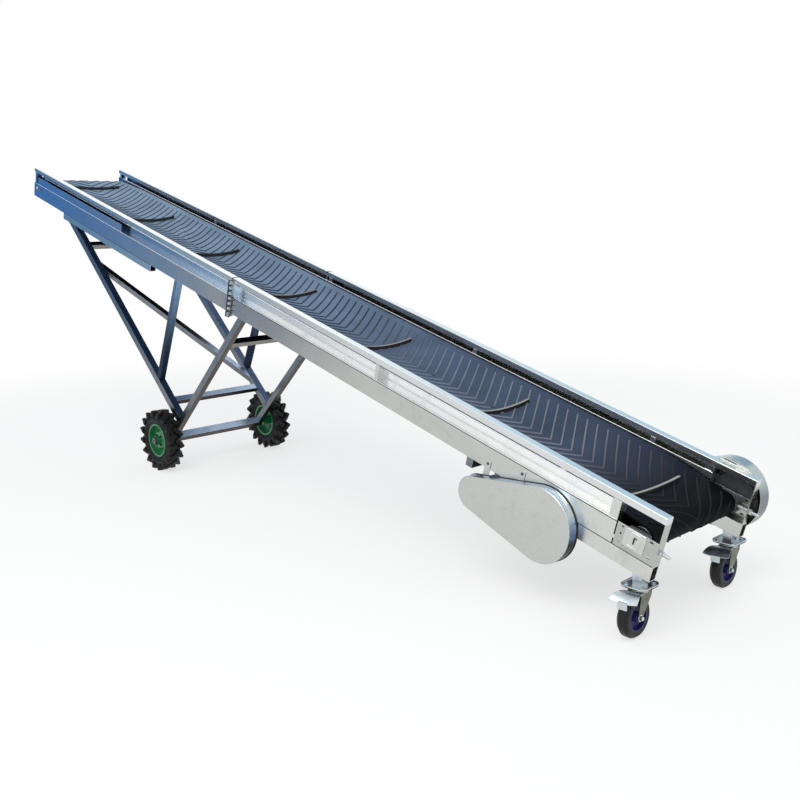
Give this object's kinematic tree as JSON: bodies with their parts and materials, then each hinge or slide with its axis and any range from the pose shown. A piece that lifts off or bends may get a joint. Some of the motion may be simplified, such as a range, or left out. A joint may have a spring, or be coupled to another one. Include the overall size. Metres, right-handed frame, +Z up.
{
  "type": "mobile belt conveyor",
  "caption": "Inclined mobile conveyor: a troughed, cleated belt in a bolted sheet-steel frame on a tube support with lugged wheels and braked swivel casters.",
  "frame": {"origin": "on the floor, under the middle of the machine's length and width", "axes": "+X from the low tail end to the raised head end, +Y to the side of the motor's guard, +Z up"},
  "size_m": [5.8462, 0.99, 2.1073],
  "materials": {
    "galvanised_sheet": "satin",
    "tube_steel": "satin",
    "belt_rubber": "matte",
    "tyre_rubber": "matte",
    "rim_paint": "gloss",
    "caster_rubber": "satin",
    "hub_plastic": "satin",
    "zinc": "satin",
    "motor_paint": "satin",
    "cast_iron": "matte",
    "shaft_steel": "satin",
    "drive_belt_rubber": "matte"
  },
  "bodies": {
    "frame": {"axle": "tube_steel", "belt": "belt_rubber", "caster_plate_far": "zinc", "caster_plate_near": "zinc", "cross_shaft": "shaft_steel", "cross_shaft_bearings": "cast_iron", "drive_belt": "drive_belt_rubber", "drive_guard_far": "galvanised_sheet", "drive_guard_near": "galvanised_sheet", "far_pulleys": "cast_iron", "front_cross_bars": "tube_steel", "front_legs": "tube_steel", "head_bearings": "cast_iron", "head_channel_far": "galvanised_sheet", "head_channel_near": "galvanised_sheet", "head_drum": "shaft_steel", "idler_frames": "tube_steel", "idler_rolls": "shaft_steel", "leg_diagonal": "tube_steel", "leg_struts": "tube_steel", "motor": "motor_paint", "motor_base": "tube_steel", "rail_far": "galvanised_sheet", "rail_near": "galvanised_sheet", "rear_cross_bar": "tube_steel", "rear_legs": "tube_steel", "recess_cover_far": "galvanised_sheet", "recess_cover_near": "galvanised_sheet", "return_rolls": "shaft_steel", "side_beam_head_far": "galvanised_sheet", "side_beam_head_near": "galvanised_sheet", "side_beam_tail_far": "galvanised_sheet", "side_beam_tail_near": "galvanised_sheet", "tail_bearings": "cast_iron", "tail_channel_far": "galvanised_sheet", "tail_channel_near": "galvanised_sheet", "tail_drum": "shaft_steel", "tail_plate_far": "galvanised_sheet", "tail_plate_near": "galvanised_sheet", "take_up_screws": "shaft_steel"},
    "wheel_near": {"tyre_near": "tyre_rubber", "rim_near": "rim_paint"},
    "wheel_far": {"tyre_far": "tyre_rubber", "rim_far": "rim_paint"},
    "caster_swivel_near": {"caster_fork_near": "zinc", "caster_pedal_near": "zinc"},
    "caster_swivel_far": {"caster_fork_far": "zinc", "caster_pedal_far": "zinc"},
    "caster_wheel_near": {"caster_tyre_near": "caster_rubber", "caster_hub_near": "hub_plastic"},
    "caster_wheel_far": {"caster_tyre_far": "caster_rubber", "caster_hub_far": "hub_plastic"}
  },
  "joints": [
    {"name": "wheel_spin_near", "type": "hinge", "parent": "frame", "child": "wheel_near", "pos_m": [0.95495, 0.434, 0.205], "axis": [0, 1, 0], "continuous": true},
    {"name": "wheel_spin_far", "type": "hinge", "parent": "frame", "child": "wheel_far", "pos_m": [0.95495, -0.434, 0.205], "axis": [0, 1, 0], "continuous": true},
    {"name": "caster_turn_near", "type": "hinge", "parent": "frame", "child": "caster_swivel_near", "pos_m": [-2.78986, 0.357, 0], "axis": [0, 0, 1], "continuous": true},
    {"name": "caster_roll_near", "type": "hinge", "parent": "caster_swivel_near", "child": "caster_wheel_near", "pos_m": [-2.78986, 0.399, 0.088], "axis": [1, 0, 0], "continuous": true},
    {"name": "caster_turn_far", "type": "hinge", "parent": "frame", "child": "caster_swivel_far", "pos_m": [-2.78986, -0.357, 0], "axis": [0, 0, 1], "continuous": true},
    {"name": "caster_roll_far", "type": "hinge", "parent": "caster_swivel_far", "child": "caster_wheel_far", "pos_m": [-2.78986, -0.315, 0.088], "axis": [1, 0, 0], "continuous": true}
  ]
}
